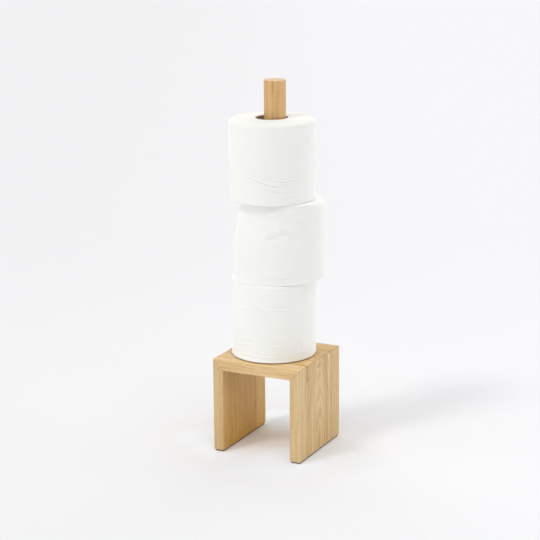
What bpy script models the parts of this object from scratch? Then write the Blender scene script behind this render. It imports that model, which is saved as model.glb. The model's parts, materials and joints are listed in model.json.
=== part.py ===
"""Freestanding toilet roll holder in solid oak, with three paper rolls stacked on its post.

Metres, +Z up. The origin lies on the floor under the middle of the base, and the open arch
of the base faces -Y. Three boards with mitred corners make the base. A round post stands in
a shallow housing in the top board and is drawn down by a bolt from beneath. Each roll is a
cardboard core and a paper winding, and stands loosely round the post.
"""

import math

import bmesh
import bpy
from mathutils import Matrix, Vector

# Fits
GAP = 0.0003                     # between two pieces that touch
CUT_OVERRUN = 0.004              # how far a cutter runs past the face that it leaves by

# Base
BASE_WIDTH = 0.125
BASE_DEPTH = 0.1225
BASE_HEIGHT = 0.126              # floor to the top board's upper face
BOARD_THICKNESS = 0.0148
BOARD_EASING = 0.0008            # rounding of the long edges, sanded after glue-up
FOOT_CHAMFER = 0.0013            # round the lower end of each leg
PAD_THICKNESS = 0.0012
PAD_SIDE_INSET = 0.0014
PAD_END_INSET = 0.0016
PAD_EASING = 0.0004

# Hidden tongues in the mitres, as shares of the mitre's own length across the board
SPLINE_THICKNESS_SHARE = 0.2
SPLINE_WIDTH_SHARE = 0.54
SPLINE_PLACE_SHARE = 0.34        # from the inner corner
SPLINE_END_STOP = 0.016          # how far the groove stops short of the board's edges
SPLINE_EASING = 0.0005

# Post
POST_DIAMETER = 0.0281
POST_STAND = 0.359               # above the top board
POST_SEAT_DEPTH = 0.004          # let into the top board
POST_TOP_EASING = 0.0009
POST_FOOT_CHAMFER = 0.0008

# Bolt and insert that hold the post
BOLT_DIAMETER = 0.006
BOLT_LENGTH = 0.027              # with its head
BOLT_HEAD_DIAMETER = 0.0115
BOLT_HEAD_LAND = 0.0005
BOLT_HEAD_RECESS = 0.0003        # below the board's lower face
BOLT_TIP_CHAMFER = 0.0008
BOLT_SOCKET_ACROSS = 0.004       # across the flats of its hexagon
BOLT_SOCKET_DEPTH = 0.0024
BOLT_HOLE_CLEARANCE = 0.0005
INSERT_LENGTH = 0.015
INSERT_WALL = 0.0014
INSERT_BARB_HEIGHT = 0.0005
INSERT_BARBS = 4
INSERT_SETBACK = 0.0006          # above the post's lower face
BORE_END_ROOM = 0.0025           # past the bolt's tip

# Rolls, all of one make; they have settled and gone a little oval in different ways
PAPER_DIAMETER = 0.1105          # of a roll that is round
CORE_PLAY = 0.00635              # between the post and a core that stands centred on it
CORE_WALL = 0.0011
CORE_RECESS = 0.0008             # how far a core stops short of its paper's ends
PAPER_TAIL_STEP = 0.0004         # the last turn's loose edge
LIP_HEIGHT = 0.011               # over which a flared lower edge fades out
PRESS_START = 0.042              # above its foot, where a roll that is pressed in starts to narrow

BOTTOM_HEIGHT = 0.1025
BOTTOM_OVAL = 0.0016             # how far its wide ends stand out past the round
BOTTOM_OVAL_DEG = 116            # the direction of its wide ends
BOTTOM_SHOULDER = 0.0030
BOTTOM_FOOT_ROUNDING = 0.0014
BOTTOM_LIP_FLARE = 0.0014
BOTTOM_CROWN = 0.0003
BOTTOM_FACE_FALL = 0.0006
BOTTOM_PLAY_SHARE = 0.62         # how much of the play it has slid off centre
BOTTOM_SLIDE_DEG = 150
BOTTOM_TAIL_DEG = 95

MIDDLE_HEIGHT = 0.1037
MIDDLE_OVAL = 0.0037
MIDDLE_OVAL_DEG = 26
MIDDLE_SHOULDER = 0.0060
MIDDLE_FOOT_ROUNDING = 0.0030
MIDDLE_LIP_FLARE = 0.0
MIDDLE_CROWN = 0.0
MIDDLE_FACE_FALL = 0.0004
MIDDLE_PRESSED_IN = 0.0092       # how much narrower its top is, pressed in from one side
MIDDLE_PLAY_SHARE = 0.66
MIDDLE_SLIDE_DEG = 26
MIDDLE_TAIL_DEG = 60
MIDDLE_PRESSED_DEG = 26          # the way that it is pressed, towards the side that stays

TOP_HEIGHT = 0.1040
TOP_OVAL = 0.0002
TOP_OVAL_DEG = 26
TOP_SHOULDER = 0.0036
TOP_FOOT_ROUNDING = 0.0030
TOP_LIP_FLARE = 0.0
TOP_CROWN = 0.0004
TOP_FACE_FALL = 0.0014
TOP_PLAY_SHARE = 0.66
TOP_SLIDE_DEG = 206
TOP_TAIL_DEG = 120

# Facets
EASING_STEPS = 2
ROUNDING_STEPS = 4
LIP_STEPS = 4
SIDE_STEPS = 3
PRESSED_SIDE_STEPS = 6
BOLT_SIDES = 24
POST_SIDES = 48
CORE_SIDES = 48
PAPER_SIDES = 60
SMOOTH_BELOW_DEG = 35

# Worked out from the sizes above
HALF_WIDTH = BASE_WIDTH / 2
HALF_DEPTH = BASE_DEPTH / 2
BOARD_UNDERSIDE = BASE_HEIGHT - BOARD_THICKNESS
LEG_BOTTOM = PAD_THICKNESS + GAP
MITRE_LENGTH = math.hypot(BOARD_THICKNESS, BOARD_THICKNESS)
SPLINE_THICKNESS = SPLINE_THICKNESS_SHARE * MITRE_LENGTH
SPLINE_WIDTH = SPLINE_WIDTH_SHARE * MITRE_LENGTH
SPLINE_LENGTH = BASE_DEPTH - 2 * SPLINE_END_STOP
POST_RADIUS = POST_DIAMETER / 2
POST_FOOT = BASE_HEIGHT - POST_SEAT_DEPTH + GAP
POST_TOP = BASE_HEIGHT + POST_STAND
BOLT_RADIUS = BOLT_DIAMETER / 2
BOLT_FACE = BOARD_UNDERSIDE + BOLT_HEAD_RECESS
BOLT_TIP = BOLT_FACE + BOLT_LENGTH
INSERT_BORE_RADIUS = BOLT_RADIUS + GAP
INSERT_BODY_RADIUS = INSERT_BORE_RADIUS + INSERT_WALL
INSERT_BARB_RADIUS = INSERT_BODY_RADIUS + INSERT_BARB_HEIGHT
INSERT_FOOT = POST_FOOT + INSERT_SETBACK
INSERT_TOP = INSERT_FOOT + INSERT_LENGTH
CORE_BORE_RADIUS = POST_RADIUS + CORE_PLAY
CORE_RADIUS = CORE_BORE_RADIUS + CORE_WALL
PAPER_BORE_RADIUS = CORE_RADIUS + GAP

OAK = (0.72, 0.53, 0.31)
OAK_POST = (0.66, 0.44, 0.22)
BEECH = (0.74, 0.56, 0.38)
BRASS = (0.72, 0.53, 0.22)
ZINC = (0.62, 0.62, 0.60)
PAD_GREY = (0.16, 0.14, 0.12)
CARDBOARD = (0.36, 0.24, 0.13)
PAPER = (0.90, 0.90, 0.88)


def clear_scene():
    for item in list(bpy.data.objects):
        bpy.data.objects.remove(item, do_unlink=True)


def make_material(name, colour, roughness, metallic=0.0):
    material = bpy.data.materials.new(name)
    material.use_nodes = True
    shader = material.node_tree.nodes["Principled BSDF"]
    shader.inputs["Base Color"].default_value = (*colour, 1.0)
    shader.inputs["Roughness"].default_value = roughness
    shader.inputs["Metallic"].default_value = metallic
    return material


def add_object(name, shape, material=None, location=(0, 0, 0), parent=None):
    """Turns a bmesh into an object; its place is given relative to its parent's."""
    bmesh.ops.recalc_face_normals(shape, faces=shape.faces)
    mesh = bpy.data.meshes.new(name)
    shape.to_mesh(mesh)
    shape.free()
    mesh.shade_smooth()
    mesh.set_sharp_from_angle(angle=math.radians(SMOOTH_BELOW_DEG))
    item = bpy.data.objects.new(name, mesh)
    if material is not None:
        mesh.materials.append(material)
    item.parent = parent
    item.location = location
    bpy.context.scene.collection.objects.link(item)
    return item


def add_cutter(name, shape, parent):
    item = add_object(name, shape, parent=parent)
    item.hide_render = True
    item.display_type = "WIRE"
    return item


def cut(item, *cutters):
    for cutter in cutters:
        modifier = item.modifiers.new("cut by " + cutter.name, "BOOLEAN")
        modifier.operation = "DIFFERENCE"
        modifier.solver = "EXACT"
        modifier.object = cutter


def arc(centre, radius, start_deg, end_deg, steps):
    """Points (r, z) on an arc, both ends included."""
    points = []
    for step in range(steps + 1):
        angle = math.radians(start_deg + (end_deg - start_deg) * step / steps)
        points.append((centre[0] + radius * math.cos(angle), centre[1] + radius * math.sin(angle)))
    return points


def turned(outline, sides, closed=False):
    """Spins an outline of (r, z) points round the Z axis into one closed body."""
    shape = bmesh.new()
    verts = [shape.verts.new((r, 0, z)) for r, z in outline]
    edges = [shape.edges.new(pair) for pair in zip(verts, verts[1:])]
    if closed:
        edges.append(shape.edges.new((verts[-1], verts[0])))
    bmesh.ops.spin(
        shape, geom=verts + edges, axis=(0, 0, 1), cent=(0, 0, 0),
        angle=math.tau, steps=sides, use_merge=True,
    )
    bmesh.ops.remove_doubles(shape, verts=shape.verts, dist=GAP / sides)
    return shape


def box(size, centre=(0, 0, 0), turn=None):
    shape = bmesh.new()
    placed = Matrix.Translation(centre) @ (turn or Matrix()) @ Matrix.Diagonal((*size, 1))
    bmesh.ops.create_cube(shape, size=1, matrix=placed)
    return shape


def ease(shape, edges, width, steps):
    bmesh.ops.bevel(
        shape, geom=edges, offset=width, segments=steps, profile=0.5, affect="EDGES",
    )


def slice_off(shape, point, normal):
    """Removes what lies beyond the plane and closes the cut."""
    geometry = shape.verts[:] + shape.edges[:] + shape.faces[:]
    bmesh.ops.bisect_plane(
        shape, geom=geometry, plane_co=point, plane_no=normal, clear_outer=True,
    )
    open_edges = [edge for edge in shape.edges if edge.is_boundary]
    bmesh.ops.holes_fill(shape, edges=open_edges, sides=0)


def mitre(side):
    """A mitre's outer corner and its normal towards the leg; side is -1 left or 1 right."""
    corner = Vector((side * HALF_WIDTH, 0, BASE_HEIGHT))
    normal = Vector((side, 0, -1)).normalized()
    return corner, normal


def glued_frame():
    """The whole inverted U with its edges eased, before the mitres divide it."""
    inner_half = HALF_WIDTH - BOARD_THICKNESS
    outline = [
        (-HALF_WIDTH, LEG_BOTTOM), (-HALF_WIDTH, BASE_HEIGHT),
        (HALF_WIDTH, BASE_HEIGHT), (HALF_WIDTH, LEG_BOTTOM),
        (inner_half, LEG_BOTTOM), (inner_half, BOARD_UNDERSIDE),
        (-inner_half, BOARD_UNDERSIDE), (-inner_half, LEG_BOTTOM),
    ]
    shape = bmesh.new()
    front = shape.faces.new([shape.verts.new((x, -HALF_DEPTH, z)) for x, z in outline])
    back = bmesh.ops.extrude_face_region(shape, geom=[front])
    moved = [item for item in back["geom"] if isinstance(item, bmesh.types.BMVert)]
    bmesh.ops.translate(shape, verts=moved, vec=(0, BASE_DEPTH, 0))
    bmesh.ops.recalc_face_normals(shape, faces=shape.faces)

    near_floor = LEG_BOTTOM + GAP
    feet = [edge for edge in shape.edges if all(vert.co.z < near_floor for vert in edge.verts)]
    ease(shape, feet, FOOT_CHAMFER, 1)
    right_angle = math.radians(60)
    arrises = [edge for edge in shape.edges if edge.calc_face_angle_signed() > right_angle]
    ease(shape, arrises, BOARD_EASING, EASING_STEPS)
    return shape


def top_board_shape():
    shape = glued_frame()
    for side in (-1, 1):
        corner, normal = mitre(side)
        slice_off(shape, corner - normal * GAP / 2, normal)
    return shape


def leg_shape(side):
    shape = glued_frame()
    slice_off(shape, (0, 0, 0), (-side, 0, 0))
    corner, normal = mitre(side)
    slice_off(shape, corner + normal * GAP / 2, -normal)
    return shape


def spline_shape(side, clearance):
    """The loose tongue that crosses a mitre, or with a clearance the groove cut for it."""
    corner, normal = mitre(side)
    along = Vector((-side, 0, -1)).normalized()
    centre = corner + along * MITRE_LENGTH * (1 - SPLINE_PLACE_SHARE)
    frame = Matrix((
        (normal.x, 0, along.x, 0),
        (0, 1, 0, 0),
        (normal.z, 0, along.z, 0),
        (0, 0, 0, 1),
    ))
    size = (
        SPLINE_WIDTH + 2 * clearance,
        SPLINE_LENGTH + 2 * clearance,
        SPLINE_THICKNESS + 2 * clearance,
    )
    return box(size, centre, frame)


def board_bore_shape():
    """What the drill takes out of the top board: countersink, bolt hole and post housing."""
    head = BOLT_HEAD_DIAMETER / 2 + GAP
    hole = BOLT_RADIUS + BOLT_HOLE_CLEARANCE
    housing = POST_RADIUS + GAP
    land = BOLT_FACE + BOLT_HEAD_LAND
    seat = BASE_HEIGHT - POST_SEAT_DEPTH
    return turned([
        (0, BOARD_UNDERSIDE - CUT_OVERRUN), (head, BOARD_UNDERSIDE - CUT_OVERRUN),
        (head, land), (hole, land + head - hole), (hole, seat),
        (housing, seat), (housing, BASE_HEIGHT + CUT_OVERRUN), (0, BASE_HEIGHT + CUT_OVERRUN),
    ], POST_SIDES)


def post_shape():
    """A round post with an eased top, and a blind bore in its foot for the insert."""
    bore = INSERT_BARB_RADIUS + GAP
    bore_end = max(BOLT_TIP, INSERT_TOP) + BORE_END_ROOM
    outline = [(0, bore_end), (bore, bore_end), (bore, POST_FOOT)]
    outline += [(POST_RADIUS - POST_FOOT_CHAMFER, POST_FOOT), (POST_RADIUS, POST_FOOT + POST_FOOT_CHAMFER)]
    easing_centre = (POST_RADIUS - POST_TOP_EASING, POST_TOP - POST_TOP_EASING)
    outline += arc(easing_centre, POST_TOP_EASING, 0, 90, ROUNDING_STEPS)
    outline.append((0, POST_TOP))
    return turned(outline, POST_SIDES)


def insert_shape():
    """A brass sleeve with saw-tooth barbs that grip the post's end grain."""
    barb_pitch = INSERT_LENGTH / (INSERT_BARBS + 1)
    outline = [(INSERT_BORE_RADIUS, INSERT_FOOT), (INSERT_BODY_RADIUS, INSERT_FOOT)]
    for barb in range(1, INSERT_BARBS + 1):
        crest = INSERT_FOOT + barb * barb_pitch
        outline.append((INSERT_BODY_RADIUS, crest - GAP))
        outline.append((INSERT_BARB_RADIUS, crest))
        outline.append((INSERT_BODY_RADIUS, crest + barb_pitch / 2))
    outline += [(INSERT_BODY_RADIUS, INSERT_TOP), (INSERT_BORE_RADIUS, INSERT_TOP)]
    return turned(outline, BOLT_SIDES, closed=True)


def bolt_shape():
    head = BOLT_HEAD_DIAMETER / 2
    land = BOLT_FACE + BOLT_HEAD_LAND
    return turned([
        (0, BOLT_FACE), (head, BOLT_FACE), (head, land),
        (BOLT_RADIUS, land + head - BOLT_RADIUS),
        (BOLT_RADIUS, BOLT_TIP - BOLT_TIP_CHAMFER),
        (BOLT_RADIUS - BOLT_TIP_CHAMFER, BOLT_TIP), (0, BOLT_TIP),
    ], BOLT_SIDES)


def socket_shape():
    """The hexagon that a key fits, cut up into the bolt's head."""
    corner_radius = BOLT_SOCKET_ACROSS / math.sqrt(3)
    depth = BOLT_SOCKET_DEPTH + CUT_OVERRUN
    middle = BOLT_FACE + BOLT_SOCKET_DEPTH - depth / 2
    shape = bmesh.new()
    bmesh.ops.create_cone(
        shape, cap_ends=True, segments=6, radius1=corner_radius, radius2=corner_radius,
        depth=depth, matrix=Matrix.Translation((0, 0, middle)),
    )
    return shape


def pad_shape(side):
    inner_half = HALF_WIDTH - BOARD_THICKNESS
    centre = (side * (HALF_WIDTH + inner_half) / 2, 0, PAD_THICKNESS / 2)
    size = (BOARD_THICKNESS - 2 * PAD_SIDE_INSET, BASE_DEPTH - 2 * PAD_END_INSET, PAD_THICKNESS)
    shape = box(size, centre)
    upright = [edge for edge in shape.edges if edge.verts[0].co.z != edge.verts[1].co.z]
    ease(shape, upright, PAD_EASING, EASING_STEPS)
    return shape


def core_shape(roll):
    """A cardboard tube, seen from the roll's own foot at z = 0."""
    low = CORE_RECESS
    high = roll["height"] - CORE_RECESS
    return turned([
        (CORE_BORE_RADIUS, low), (CORE_RADIUS, low),
        (CORE_RADIUS, high), (CORE_BORE_RADIUS, high),
    ], CORE_SIDES, closed=True)


def paper_outline(roll):
    """(r, z, share) points from the bore's foot, out, up and back; share is of the tail step.

    The side bulges by the crown and flares by the lip towards its foot. The upper face
    falls a little from the bore to the shoulder, as loosely wound paper does.
    """
    radius = PAPER_DIAMETER / 2
    foot = roll["foot"]
    shoulder = roll["shoulder"]
    flared = radius + roll["flare"]
    points = [(PAPER_BORE_RADIUS, 0, 0)]
    for r, z in arc((flared - foot, foot), foot, -90, 0, ROUNDING_STEPS):
        points.append((r, z, 1))
    lip_steps = LIP_STEPS if roll["flare"] > GAP else 1
    for step in range(1, lip_steps + 1):
        share = step / lip_steps
        fade = (1 + math.cos(math.pi * share)) / 2
        points.append((radius + roll["flare"] * fade, foot + LIP_HEIGHT * share, 1))
    low = foot + LIP_HEIGHT
    rim = roll["height"] - roll["fall"]
    high = rim - shoulder
    side_steps = PRESSED_SIDE_STEPS if roll["pressed_in"] else SIDE_STEPS
    for step in range(1, side_steps):
        share = step / side_steps
        points.append((radius + roll["crown"] * math.sin(math.pi * share), low + (high - low) * share, 1))
    for r, z in arc((radius - shoulder, high), shoulder, 0, 90, ROUNDING_STEPS):
        points.append((r, z, 1))
    face_middle = (PAPER_BORE_RADIUS + radius - shoulder) / 2
    points.append((face_middle, roll["height"] - roll["fall"] / 4, 0))
    points.append((PAPER_BORE_RADIUS, roll["height"], 0))
    return points


def pressed(roll, z):
    """How far the middle of the side is pressed across at a height; the far side moves twice that."""
    high = roll["height"] - roll["fall"] - roll["shoulder"]
    height_share = min(max((z - PRESS_START) / (high - PRESS_START), 0), 1)
    return roll["pressed_in"] / 2 * height_share ** 2 * (3 - 2 * height_share)


def paper_point(roll, r, z, tail_share, turn_share):
    """Where a point of the outline lies after a share of a turn from the tail's edge."""
    angle = math.radians(roll["tail_deg"]) + math.tau * turn_share
    reach_share = min((r - PAPER_BORE_RADIUS) / (PAPER_DIAMETER / 2 - PAPER_BORE_RADIUS), 1)
    oval = roll["oval"] * math.cos(2 * (angle - math.radians(roll["oval_deg"])))
    out = r + oval * reach_share - PAPER_TAIL_STEP * (1 - turn_share) * tail_share
    way = math.radians(roll["pressed_deg"])
    shift = pressed(roll, z) * reach_share * (1 - math.cos(angle - way))
    return out * math.cos(angle) + shift * math.cos(way), out * math.sin(angle) + shift * math.sin(way), z


def paper_shape(roll):
    """The winding: its side grows by one turn of paper and drops back at the loose tail."""
    outline = paper_outline(roll)
    shape = bmesh.new()
    columns = []
    for column in range(PAPER_SIDES + 1):
        verts = []
        for index, (r, z, tail_share) in enumerate(outline):
            if column == PAPER_SIDES and tail_share == 0:
                verts.append(columns[0][index])
                continue
            place = paper_point(roll, r, z, tail_share, column / PAPER_SIDES)
            verts.append(shape.verts.new(place))
        columns.append(verts)
    for near, far in zip(columns, columns[1:]):
        for index in range(len(outline)):
            shape.faces.new((near[index - 1], near[index], far[index], far[index - 1]))
    first, last = columns[0], columns[-1]
    for index in range(1, len(outline)):
        corners = [last[index - 1], last[index], first[index], first[index - 1]]
        distinct = list(dict.fromkeys(corners))
        if len(distinct) > 2:
            shape.faces.new(distinct)
    return shape


ROLLS = (
    {
        "name": "bottom_roll", "height": BOTTOM_HEIGHT, "shoulder": BOTTOM_SHOULDER,
        "foot": BOTTOM_FOOT_ROUNDING, "flare": BOTTOM_LIP_FLARE, "crown": BOTTOM_CROWN,
        "fall": BOTTOM_FACE_FALL, "play_share": BOTTOM_PLAY_SHARE,
        "slide_deg": BOTTOM_SLIDE_DEG, "tail_deg": BOTTOM_TAIL_DEG,
        "oval": BOTTOM_OVAL, "oval_deg": BOTTOM_OVAL_DEG, "pressed_in": 0.0, "pressed_deg": 0,
    },
    {
        "name": "middle_roll", "height": MIDDLE_HEIGHT, "shoulder": MIDDLE_SHOULDER,
        "foot": MIDDLE_FOOT_ROUNDING, "flare": MIDDLE_LIP_FLARE, "crown": MIDDLE_CROWN,
        "fall": MIDDLE_FACE_FALL, "play_share": MIDDLE_PLAY_SHARE,
        "slide_deg": MIDDLE_SLIDE_DEG, "tail_deg": MIDDLE_TAIL_DEG,
        "oval": MIDDLE_OVAL, "oval_deg": MIDDLE_OVAL_DEG,
        "pressed_in": MIDDLE_PRESSED_IN, "pressed_deg": MIDDLE_PRESSED_DEG,
    },
    {
        "name": "top_roll", "height": TOP_HEIGHT, "shoulder": TOP_SHOULDER,
        "foot": TOP_FOOT_ROUNDING, "flare": TOP_LIP_FLARE, "crown": TOP_CROWN,
        "fall": TOP_FACE_FALL, "play_share": TOP_PLAY_SHARE,
        "slide_deg": TOP_SLIDE_DEG, "tail_deg": TOP_TAIL_DEG,
        "oval": TOP_OVAL, "oval_deg": TOP_OVAL_DEG, "pressed_in": 0.0, "pressed_deg": 0,
    },
)


def build_holder():
    holder = bpy.data.objects.new("holder", None)
    bpy.context.scene.collection.objects.link(holder)

    top = add_object("top_board", top_board_shape(), make_material("top board oak", OAK, 0.55), parent=holder)
    cut(top, add_cutter("board_bore_cutter", board_bore_shape(), holder))
    for side, word in ((-1, "left"), (1, "right")):
        oak = make_material(word + " leg oak", OAK, 0.55)
        leg = add_object(word + "_leg", leg_shape(side), oak, parent=holder)
        groove = add_cutter(word + "_groove_cutter", spline_shape(side, GAP), holder)
        cut(top, groove)
        cut(leg, groove)
        tongue = spline_shape(side, 0)
        ease(tongue, tongue.edges[:], SPLINE_EASING, 1)
        add_object(word + "_spline", tongue, make_material(word + " spline beech", BEECH, 0.6), parent=holder)
        rubber = make_material(word + " pad rubber", PAD_GREY, 0.85)
        add_object(word + "_foot_pad", pad_shape(side), rubber, parent=holder)

    add_object("post", post_shape(), make_material("post oak", OAK_POST, 0.5), parent=holder)
    add_object("post_insert", insert_shape(), make_material("insert brass", BRASS, 0.35, 1.0), parent=holder)
    bolt = add_object("post_bolt", bolt_shape(), make_material("bolt zinc", ZINC, 0.35, 1.0), parent=holder)
    cut(bolt, add_cutter("bolt_socket_cutter", socket_shape(), holder))
    return holder


def roll_place(roll, foot):
    """Where a roll's axis meets its foot, for the height that the foot stands at."""
    slide = CORE_PLAY * roll["play_share"]
    angle = math.radians(roll["slide_deg"])
    return Vector((slide * math.cos(angle), slide * math.sin(angle), foot))


def build_rolls(holder):
    """Each roll stands on the one below, so its core hangs from that roll's core."""
    carrier = holder
    carrier_place = Vector((0, 0, 0))
    foot = BASE_HEIGHT + GAP
    for roll in ROLLS:
        place = roll_place(roll, foot)
        card = make_material(roll["name"] + " cardboard", CARDBOARD, 0.9)
        core = add_object(roll["name"] + "_core", core_shape(roll), card, place - carrier_place, carrier)
        paper = make_material(roll["name"] + " paper", PAPER, 0.95)
        add_object(roll["name"] + "_paper", paper_shape(roll), paper, parent=core)
        carrier, carrier_place = core, place
        foot += roll["height"] + GAP


def main():
    clear_scene()
    build_rolls(build_holder())


main()
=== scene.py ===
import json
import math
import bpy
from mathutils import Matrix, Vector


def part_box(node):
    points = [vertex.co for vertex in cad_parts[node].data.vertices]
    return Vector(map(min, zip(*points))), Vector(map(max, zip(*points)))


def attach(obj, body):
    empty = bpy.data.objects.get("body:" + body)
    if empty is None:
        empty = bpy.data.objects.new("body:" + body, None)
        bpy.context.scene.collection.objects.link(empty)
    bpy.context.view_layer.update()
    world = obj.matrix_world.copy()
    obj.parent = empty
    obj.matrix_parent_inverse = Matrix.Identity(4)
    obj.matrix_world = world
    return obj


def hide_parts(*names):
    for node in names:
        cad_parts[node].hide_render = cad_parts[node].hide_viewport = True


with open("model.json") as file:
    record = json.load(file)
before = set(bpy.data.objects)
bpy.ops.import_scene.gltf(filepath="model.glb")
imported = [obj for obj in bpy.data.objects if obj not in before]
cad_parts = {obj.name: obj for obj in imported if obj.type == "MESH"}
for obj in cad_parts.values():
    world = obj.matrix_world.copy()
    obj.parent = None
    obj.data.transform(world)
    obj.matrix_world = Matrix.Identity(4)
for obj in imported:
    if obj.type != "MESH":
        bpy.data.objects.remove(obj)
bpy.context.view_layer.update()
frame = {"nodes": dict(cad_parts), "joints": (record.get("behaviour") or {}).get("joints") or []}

# How the freestanding toilet roll holder looks: oak, paper, card, rubber and metal on the packed
# model. Metres, +Z up, in the model's own frame. The boards, the post, the fixings, the pads and
# the cores are the model's own pieces with new materials. The three paper windings are plain
# solids there, and are made again here as soft, creased rolls of the same size in the same place.

from types import SimpleNamespace

import bpy
import numpy as np
from mathutils import Matrix, Vector

# Camera, fitted to the corners of the base and the ends of the post
CAMERA_TURN_DEG = 26.417  # round the object from straight in front
CAMERA_TILT_DEG = 14.474
CAMERA_ROLL_DEG = -0.4635
CAMERA_RIGHT = -0.009866  # of the origin, along the camera's own axes
CAMERA_UP = 0.229515
CAMERA_BACK = 2.334717
LENS_MM = 117.12
SENSOR_MM = 36.0
CAMERA_FACING_DEG = CAMERA_TURN_DEG - 90  # the direction in plan from the object to the camera

# Studio
KEY_BEARING = (-0.46, -0.89)  # in plan, towards the light
KEY_ELEVATION_DEG = 50.5
KEY_SIZE_DEG = 12
KEY_STRENGTH = 0.6
KEY_COLOUR = (1.0, 0.99, 0.975)
PANELS = (  # degrees from the camera's side, elevation, half width, strength
    (-60, 12, 62, 1.1),
    (60, 12, 62, 0.64),
    (120, 12, 62, 1.14),
    (180, 12, 62, 1.5),
    (-120, 12, 62, 0.42),
    (15, 66, 30, 2.55),
)
BACKGROUND = (0.925, 0.922, 0.945)
FLOOR_SIZE = 24.0
# Painted light: the floor's tone is darker to the left, lighter to the right and a little darker far off
FLOOR_LEFT = (0.835, 0.835, 0.85)
FLOOR_RIGHT = (0.875, 0.872, 0.892)
FLOOR_SPREAD = 0.5  # from the middle to where the tone is fully left or right
FLOOR_FAR_SHARE = 0.97
FLOOR_FAR = (-0.1, 1.2)  # along the view, where the far tone starts and is full
FLOOR_ROUGHNESS = 0.9
# Painted light and painted shadow on the floor, as faint tints: most lift the shadows near the base
# and cool the warm light that the oak throws on the floor, and one darkens it as a painted shadow
# right of the base. Each is its centre in plan, how far out the tint is full and where it has gone,
# and what the floor's colour is multiplied by.
FLOOR_PAINTED_LIGHT_AND_SHADOW = (
    ((0.022, -0.06), (0.02, 0.092), (1.045, 1.1, 1.14)),
    ((0.026, -0.036), (0.006, 0.042), (1.045, 1.09, 1.145)),
    ((-0.06, -0.06), (0.01, 0.045), (1.05, 1.08, 1.1)),
    ((0.1, -0.01), (0.02, 0.085), (0.945, 0.97, 0.975)),
    ((-0.04, 0.078), (0.026, 0.06), (1.1, 1.155, 1.172)),
    ((-0.095, -0.02), (0.01, 0.06), (1.035, 1.085, 1.13)),
)

# Paper rolls, with the same measures as the model's solids
PAPER_RADIUS = 0.05525  # of a roll that is round
PAPER_GIRTH = math.tau * PAPER_RADIUS
PAPER_BORE_RADIUS = 0.0218
BORE_CURL = 0.0011  # how far the turns close in over the core's end
BORE_CURL_HEIGHT = 0.0007
PAPER_TAIL_STEP = 0.0004  # at the last turn's loose edge
LIP_HEIGHT = 0.011  # over which a lifted foot comes back to its place
TAIL_REACH = 0.016  # how far from its edge the last sheet stands off
TAIL_LIFT = 0.0006
SHEET_LENGTH = 0.115
TURN_PITCH = 0.00055  # between the lines that the turns draw on an end face
FACE_SUNK = 0.0002  # how far an end face lies in between its rims, at most
FACE_WAVES = (11, 3)
PAPER_COLUMNS = 480
BOTTOM_FACE_ROWS = 12
FOOT_ROWS = 8
SIDE_ROWS = 132
SHOULDER_ROWS = 12
TOP_FACE_ROWS = 22
CURL_ROWS = 5
BORE_ROWS = 3
SIDE_CROWDING = 1.15  # over 1, rows lie closer towards the foot
SHARP_EDGE_DEG = 50


class Graph:
    """Short calls that add nodes; an input takes a number, a tuple or another node's output."""

    def __init__(self, tree):
        self.tree = tree

    def node(self, kind, inputs=(), **settings):
        made = self.tree.nodes.new(kind)
        for name, value in settings.items():
            setattr(made, name, value)
        for key, value in dict(inputs).items():
            self.feed(made.inputs[key], value)
        return made

    def feed(self, socket, value):
        if isinstance(value, bpy.types.NodeSocket):
            self.tree.links.new(value, socket)
        else:
            socket.default_value = value

    def math(self, operation, *values, clamp=False):
        made = self.node("ShaderNodeMath", operation=operation, use_clamp=clamp)
        for socket, value in zip(made.inputs, values):
            self.feed(socket, value)
        return made.outputs[0]

    def chain(self, operation, first, *others):
        for value in others:
            first = self.math(operation, first, value)
        return first

    def add(self, *values):
        return self.chain("ADD", *values)

    def multiply(self, *values):
        return self.chain("MULTIPLY", *values)

    def length(self, first, second):
        return self.math("SQRT", self.add(self.multiply(first, first), self.multiply(second, second)))

    def scaled(self, value, gain, lift=0.0):
        return self.math("MULTIPLY_ADD", value, gain, lift)

    def swing(self, value, size):
        """A value from 0 to 1 becomes one from minus half the size to plus half of it."""
        return self.scaled(value, size, -size / 2)

    def vector(self, x, y, z):
        return self.node("ShaderNodeCombineXYZ", {0: x, 1: y, 2: z}).outputs[0]

    def split(self, vector):
        return self.node("ShaderNodeSeparateXYZ", {0: vector}).outputs

    def noise(self, vector, detail=2.0, roughness=0.5):
        inputs = {"Vector": vector, "Scale": 1.0, "Detail": detail, "Roughness": roughness}
        return self.node("ShaderNodeTexNoise", inputs).outputs[0]

    def ramp(self, value, low, high, start=0.0, end=1.0):
        """Goes smoothly from start at low to end at high."""
        inputs = {"Value": value, "From Min": low, "From Max": high, "To Min": start, "To Max": end}
        return self.node("ShaderNodeMapRange", inputs, interpolation_type="SMOOTHSTEP").outputs[0]

    def clamped(self, *values):
        """The sum of the values, held between 0 and 1."""
        return self.math("ADD", self.add(*values), 0.0, clamp=True)

    def off(self, value, middle=0.0):
        """How far the value lies from the middle, to either side."""
        return self.math("ABSOLUTE", self.add(value, -middle))

    def fade(self, value, low, high, start=1.0):
        """Goes smoothly from start at low to nothing at high."""
        return self.ramp(value, low, high, start, 0.0)

    def tinted(self, colour, factors):
        inputs = {0: colour, 1: factors}
        return self.node("ShaderNodeVectorMath", inputs, operation="MULTIPLY").outputs[0]

    def times(self, vector, factor):
        return self.node("ShaderNodeVectorMath", {0: vector, 3: factor}, operation="SCALE").outputs[0]

    def mix(self, share, first, second):
        made = self.node("ShaderNodeMix", data_type="RGBA")
        self.feed(made.inputs["Factor"], share)
        for key, value in ((6, first), (7, second)):
            self.feed(made.inputs[key], (*value, 1.0) if isinstance(value, tuple) else value)
        return made.outputs[2]

    def attribute(self, name):
        return self.node("ShaderNodeAttribute", attribute_name=name)


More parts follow.
